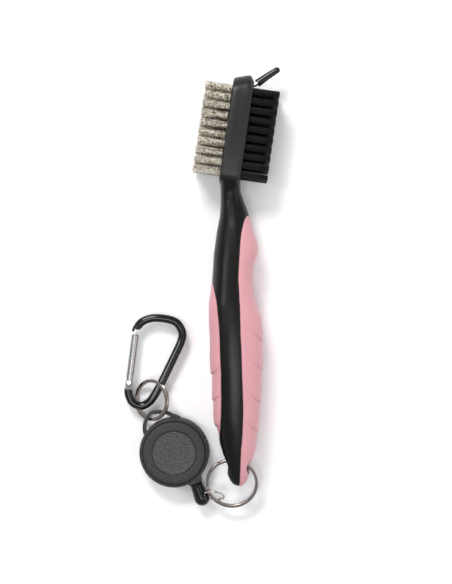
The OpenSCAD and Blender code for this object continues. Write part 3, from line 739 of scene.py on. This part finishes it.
# almost a full turn, with its two ends side by side
turn = np.radians(np.linspace(62, 62 + 356, 120))
loop = np.column_stack([JUMP_R * np.cos(turn), JUMP_R * np.sin(turn),
                        0.05 * np.cos(turn / 2)])
jump = add_mesh("jump_ring_wire", *tube(moved(loop, JUMP), JUMP_WIRE_R, 20), "jump_steel",
                "link", sharp=50)
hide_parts("jump_ring")

# ---------------------------------------------------------------- reel

REEL = place((-26.5, 14.7, 0))


def case_profile():
    """Half section of the back case, from the floor's middle round to the inside."""
    return rounded([(0.02, 0), (15.1, 0), (16, 0.9), (16, 9.7), (15.3, 10.6), (14.75, 10.6),
                    (14.45, 10.35), (14.45, 9.0), (13.3, 9.0), (13.3, 1.4), (0.02, 1.4)],
                   [0, 0.6, 0.5, 0.5, 0.4, 0.1, 0.1, 0.05, 0.05, 0.3, 0], 5)


case = add_mesh("reel_case_shell", *put(REEL, lathe(case_profile(), 128)), "reel_case",
                "reel", sharp=35)
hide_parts("reel_back")


def cover_profile():
    """Half section of the front cover, with the recess for the badge."""
    return rounded([(0.02, 9.05), (14.3, 9.05), (14.3, 11.2), (13.9, 11.75), (12.9, 12.0),
                    (10.75, 11.95), (10.15, 11.75), (10.0, 11.3), (0.02, 11.3)],
                   [0, 0.1, 0.5, 0.6, 0.8, 0.5, 0.3, 0.15, 0], 5)


cover = add_mesh("reel_cover_shell", *put(REEL, lathe(cover_profile(), 128)), "reel_cover",
                 "reel", sharp=35)
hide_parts("reel_front")

badge_profile = rounded([(0.02, 11.32), (9.9, 11.32), (9.9, 11.75), (9.3, 11.78),
                         (8.9, 11.62), (0.02, 11.66)], [0, 0.05, 0.2, 0.2, 0.2, 0], 4)
badge = add_mesh("badge_disc", *put(REEL, lathe(badge_profile, 96)), "reel_badge", "reel",
                 sharp=35)
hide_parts("reel_badge")

POST = [(1.6, 1.3), (1.6, 8.6), (1.4, 8.8), (0.02, 8.8)]
add_mesh("reel_post", *put(REEL, lathe(POST, 40)), "reel_case", "reel", sharp=35)

# the way the cord leaves the reel, and the flat end of the bead
PULL_TURN = -68
PULL = np.array([math.cos(math.radians(PULL_TURN)), math.sin(math.radians(PULL_TURN)), 0.0])
PULL_SIDE = np.cross(UP, PULL)
BEAD = np.array([-14.2, -5.5, 6.0]) - 6.2 * PULL


def box_ring(half_w, low, high, radius, steps=5):
    """Rounded rectangle (side, up)."""
    out = []
    for cx, cz, start in ((half_w - radius, high - radius, 0),
                          (-half_w + radius, high - radius, 90),
                          (-half_w + radius, low + radius, 180),
                          (half_w - radius, low + radius, 270)):
        for i in range(steps + 1):
            a = math.radians(start + 90 * i / steps)
            out.append((cx + radius * math.cos(a), cz + radius * math.sin(a)))
    return np.array(out)


def make_boss():
    """The cord outlet: a rounded block on the rim of the case."""
    sections = []
    for s, grow, radius in ((-5.4, 0.5, 0.9), (-3.0, 0.4, 0.9), (-2.2, 0.0, 0.9),
                            (-0.6, 0.0, 0.9), (-0.4, -0.12, 0.8), (-0.3, -0.35, 0.6)):
        ring = box_ring(3.2 + grow, 1.4 - min(grow, 0), 10.3 + min(grow, 0), radius)
        sections.append(BEAD + s * PULL - [0, 0, BEAD[2]] + ring[:, :1] * PULL_SIDE
                        + ring[:, 1:] * UP)
    return skin(sections)


add_mesh("outlet_boss", *make_boss(), "reel_case", "reel", sharp=40)

LUG_LINE = [(-39.6, 22.6), (-40.3, 25.4), (-40.0, 28.2), (-38.9, 30.9), (-37.4, 32.8),
            (-35.0, 33.3), (-30.2, 33.1), (-28.3, 32.2), (-26.6, 31.0), (-24.6, 29.6)]


def make_lug():
    """The flat bar that arches over the lug hole."""
    line = rounded([(x, y, 7.25) for x, y in LUG_LINE], 1.6, 6)
    _, side, up = frames_along(line)
    ring = rounded([(-0.95, 0), (-0.95, -0.55), (0.95, -0.55), (0.95, 0.55), (-0.95, 0.55),
                    (-0.95, 0)], 0.3, 4)[:-1]
    t = np.arange(len(line)) / len(line)
    widen = (1 + 0.9 * smoothstep((t - 0.82) / 0.18)
             - 0.24 * np.exp(-((t - 0.36) / 0.16) ** 2))
    sections = [p + ring[:, :1] * s * w + ring[:, 1:] * u
                for p, s, u, w in zip(line, side, up, widen)]
    return skin(sections)


add_mesh("lug_bar", *make_lug(), "reel_case", "reel", sharp=40)

# cord: the short run between reel and bead, on no body
cord_path = np.array([BEAD + s * PULL for s in np.linspace(-6.5, 1.5, 33)])
cord_run = add_mesh("cord_run", *tube(cord_path, 0.45, 12), "cord_black", None)
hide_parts("pull_cord")
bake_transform(cord_run)


def make_wound():
    """Turns of cord laid side by side on the drum."""
    parts = []
    for layer in range(3):
        turns = 5 - layer % 2
        steps = turns * 48
        t = np.linspace(0, 1, steps)
        a = 2 * math.pi * turns * t
        z = 3.2 + 0.45 * (layer % 2) + (3.55 - 0.9 * (layer % 2)) * t
        r = 8.45 + 0.7 * layer
        parts.append(tube(np.column_stack([r * np.cos(a), r * np.sin(a), z]), 0.43, 8))
    return join(parts)


wound = add_mesh("wound_turns", *put(REEL, make_wound()), "cord_black", "drum")
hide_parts("wound_cord")


def make_clock_spring():
    """Flat strip from the post out to the drum wall."""
    half_t, low, high = 0.09, 2.95, 6.4
    first_r, last_r, turns = 1.75, 6.95, 5.2
    sections = []
    for t in np.linspace(0, 1, 420):
        a = 2 * math.pi * turns * t
        r = first_r + (last_r - first_r) * t ** 0.85
        sections.append(np.array([(q * math.cos(a), q * math.sin(a), z) for q, z in (
            (r - half_t, low), (r + half_t, low), (r + half_t, high), (r - half_t, high))]))
    return skin(sections)


clock = add_mesh("clock_spring", *put(REEL, make_clock_spring()), "spring_steel", "drum",
                 sharp=30)
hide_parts("mainspring")

# ---------------------------------------------------------------- bead


def make_bead():
    """The cord-end bead: a teardrop with a soft shoulder and a round end."""
    profile = [(0.5, 0.0), (2.3, 0.0), (2.65, 0.12), (2.8, 0.45), (2.95, 1.5), (3.1, 3.0),
               (3.35, 5.2), (3.55, 6.8)]
    end_r, end_z = 3.58, 7.3
    for k in range(1, 13):
        a = math.radians(90 * k / 12)
        profile.append((max(0.02, end_r * math.cos(a)), end_z + end_r * math.sin(a)))
    return lathe(profile, 56)


BEAD_FRAME = place(BEAD) @ turned("Z", PULL_TURN) @ turned("Y", 90)
bead = add_mesh("bead_teardrop", *put(BEAD_FRAME, make_bead()), "bead_black", "bead",
                sharp=50)
# the hole follows the jump ring through the bead
hole = np.radians(np.linspace(160, 270, 40))
hole_path = moved(np.column_stack([JUMP_R * np.cos(hole), JUMP_R * np.sin(hole), 0 * hole]),
                  JUMP)
cut(bead, tube(hole_path, 1.0, 24))
shade(bead.data, 50)
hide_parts("cord_end")

# ---------------------------------------------------------------- carabiner

ROD_R, ROD_Z = 1.9, 4.95
ROD = [(-44.6, 69.8), (-43.9, 71.6), (-42.0, 74.2), (-38.6, 75.9), (-34.6, 76.4),
       (-29, 75.7), (-25.1, 73.8), (-22.9, 69.6), (-23.5, 65.5), (-25.7, 60.6),
       (-29, 53.7), (-32.4, 46.8), (-35.4, 41.3), (-38.2, 37.6), (-42, 35.8),
       (-45.8, 37.4), (-47.6, 40.8), (-47.9, 44.2)]


def catmull(points, steps):
    """Smooth path through the given points."""
    p = np.asarray(points, float)
    p = np.vstack([2 * p[0] - p[1], p, 2 * p[-1] - p[-2]])
    out = []
    for i in range(1, len(p) - 2):
        for k in range(steps):
            t = k / steps
            out.append(0.5 * (2 * p[i] + (p[i + 1] - p[i - 1]) * t
                              + (2 * p[i - 1] - 5 * p[i] + 4 * p[i + 1] - p[i + 2]) * t**2
                              + (3 * p[i] - p[i - 1] - 3 * p[i + 1] + p[i + 2]) * t**3))
    out.append(p[-2])
    return np.array(out)


PIVOT = (-47.4, 46.8, ROD_Z)
GATE = place(PIVOT) @ turned("Z", -7.4)


def block(low, high):
    """Box between two corners."""
    (x0, y0, z0), (x1, y1, z1) = low, high
    pts = np.array([(x0, y0, z0), (x1, y0, z0), (x1, y1, z0), (x0, y1, z0),
                    (x0, y0, z1), (x1, y0, z1), (x1, y1, z1), (x0, y1, z1)], float)
    faces = [(3, 2, 1, 0), (4, 5, 6, 7), (0, 1, 5, 4), (1, 2, 6, 5), (2, 3, 7, 6),
             (3, 0, 4, 7)]
    return pts, faces


def make_rod():
    """The bent rod, with its two ends rounded over."""
    line = catmull(ROD, 10)
    path = np.column_stack([line, np.full(len(line), ROD_Z)])
    run = np.concatenate([[0], np.cumsum(np.linalg.norm(np.diff(path, axis=0), axis=1))])
    from_end = np.minimum(run, run[-1] - run)
    end_run = 0.5
    round_off = 1 - np.sqrt(np.clip(1 - (1 - from_end / end_run) ** 2, 0, 1))
    return tube(path, ROD_R - 0.45 * round_off * (from_end < end_run), 40)


rod = add_mesh("carabiner_rod", *make_rod(), "carabiner_black", "clip", sharp=50)
# latch notch: the gate tongue's slot, the latch pin's seat, and room for the gate's top
for low, high in (((-1.1, 19.5, -1.05), (4, 25.2, 1.05)),
                  ((-0.75, 23.1, -3), (4, 24.6, 3)),
                  ((-3.4, 19, -3), (4, 22.45, 3))):
    cut(rod, put(GATE, block(low, high)))
# the two flats that thin the rod's other end to the tang
for s in (-1, 1):
    cut(rod, block((-51, 43.4, ROD_Z + s * 2 - 1.0), (-44.5, 47, ROD_Z + s * 2 + 1.0)))
shade(rod.data, 35)
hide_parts("carabiner_body")


def make_tang():
    """Flat ear of the rod that the gate's fork straddles."""
    outline = [(PIVOT[0] + 1.6 * math.cos(a), PIVOT[1] + 1.6 * math.sin(a))
               for a in np.radians(np.linspace(0, 180, 24))]
    outline = np.array(outline + [(-49.35, 43.0), (-46.05, 43.0)])
    return skin([np.column_stack([outline, np.full(len(outline), ROD_Z + z)])
                 for z in (-0.95, 0.95)])


add_mesh("carabiner_tang", *make_tang(), "carabiner_black", "clip", sharp=35)


# bar radius, top of the fork above the pivot, and the gap between its cheeks
GATE_R, FORK_TOP, FORK_GAP = 1.74, 2.2, 2.1


def gate_radius(y):
    """Radius of the fork along the gate, from its rounded heel up to the plain bar."""
    return float(spline([(-1.72, 0.02), (-1.6, 0.8), (-1.2, 1.3), (-0.4, 1.66),
                         (0.4, GATE_R), (FORK_TOP, GATE_R)], y))


def make_gate():
    """Gate bar from above the fork up, and the two cheeks of the fork."""
    bar = [(0.02, FORK_TOP), (1.70, FORK_TOP), (GATE_R, 2.24), (GATE_R, 3.6), (1.66, 3.7),
           (1.66, 3.85), (GATE_R, 3.95), (GATE_R, 21.75), (1.42, 22.2), (0.02, 22.2)]
    parts = [put(GATE @ turned("X", -90), lathe(bar, 56))]
    for s in (-1, 1):
        sections = []
        for y in np.linspace(-1.22, FORK_TOP, 16):
            r = gate_radius(y)
            low = math.asin(min(0.98, FORK_GAP / 2 / r))
            a = np.linspace(low, math.pi - low, 22)
            sections.append(np.column_stack([r * np.cos(a) * s, np.full(22, y),
                                             r * np.sin(a) * s]))
        parts.append(put(GATE, skin(sections)))
    return join(parts)


gate = add_mesh("gate_bar", *make_gate(), "gate_aluminium", "gate_arm", sharp=30)
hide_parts("gate")
add_mesh("gate_tongue", *put(GATE, block((-0.7, 21.6, -0.85), (0.7, 24.5, 0.85))),
         "gate_aluminium", "gate_arm", smooth=False)

rivet_profile = rounded([(0.02, -2.35), (1.0, -2.35), (1.25, -2.1), (1.25, -1.85),
                         (0.75, -1.85), (0.75, 1.85), (1.25, 1.85), (1.25, 2.1),
                         (1.0, 2.35), (0.02, 2.35)], 0.12, 3)
rivet = add_mesh("rivet_turned", *put(GATE, lathe(rivet_profile, 40)), "rivet_steel",
                 "clip", sharp=35)
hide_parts("gate_rivet")

COIL_R, COIL_TURNS, COIL_L = 0.72, 11, 9.2
helix = np.linspace(0, 1, 300)
coil = np.column_stack([COIL_R * np.cos(helix * 2 * math.pi * COIL_TURNS),
                        COIL_R * np.sin(helix * 2 * math.pi * COIL_TURNS), helix * COIL_L])
coil_path = moved(coil, GATE @ place((0, 2.7, 0)) @ turned("X", -90))
gate_coil = add_mesh("gate_coil", *tube(coil_path, 0.12, 8), "spring_steel", "gate_arm")
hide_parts("gate_spring")

# ---------------------------------------------------------------- stage, light, camera

# the photo's view: straight down on the brush, from far off, this much of the table tall
VIEW_CENTRE = at((-2.74, 88.4, AXIS_Z))
VIEW_TALL = 266.7 * MM
LENS, SENSOR = 88.0, 36.0

FLOOR = 3.0
floor_mesh = bpy.data.meshes.new("floor")
floor_mesh.from_pydata([(-FLOOR, -FLOOR, 0), (FLOOR, -FLOOR, 0), (FLOOR, FLOOR, 0),
                        (-FLOOR, FLOOR, 0)], [], [(0, 1, 2, 3)])
floor = bpy.data.objects.new("floor", floor_mesh)
floor.location = (0, 0, -0.0002)
floor_mesh.materials.append(principled("floor_white", (0.93, 0.935, 0.94), 0.9))
bpy.context.scene.collection.objects.link(floor)

world = bpy.data.worlds.new("studio")
world.use_nodes = True
background = world.node_tree.nodes["Background"]
background.inputs["Color"].default_value = (0.96, 0.98, 1.0, 1)
background.inputs["Strength"].default_value = 0.44
bpy.context.scene.world = world


def area_light(name, place_at, size_xy, power):
    """A soft rectangle of light aimed at the middle of the part; metres and watts."""
    data = bpy.data.lights.new(name, "AREA")
    data.shape = "RECTANGLE"
    data.size, data.size_y = size_xy
    data.energy = power
    obj = bpy.data.objects.new(name, data)
    obj.location = place_at
    obj.rotation_mode = "QUATERNION"
    obj.rotation_quaternion = (-Vector(place_at)).to_track_quat("-Z", "Y")
    bpy.context.scene.collection.objects.link(obj)


area_light("key", (-0.22, 0.55, 0.64), (0.30, 0.22), 5.0)
area_light("left", (-0.46, 0.12, 0.62), (0.07, 0.34), 0.9)
area_light("near", (-0.08, -0.18, 0.85), (0.30, 0.18), 1.5)
area_light("fill", (0.70, -0.1, 0.55), (0.9, 0.9), 2.9)

camera_data = bpy.data.cameras.new("camera")
camera_data.lens = LENS
camera_data.sensor_width = SENSOR
camera = bpy.data.objects.new("camera", camera_data)
distance = VIEW_TALL / 2 / (SENSOR / 2 / LENS)
camera.location = Vector(VIEW_CENTRE) + Vector((0, 0, distance))
camera.rotation_euler = (0, 0, 0)
camera_data.clip_start, camera_data.clip_end = 0.05, 20
bpy.context.scene.collection.objects.link(camera)
bpy.context.scene.camera = camera
bpy.context.scene.view_settings.view_transform = "Standard"
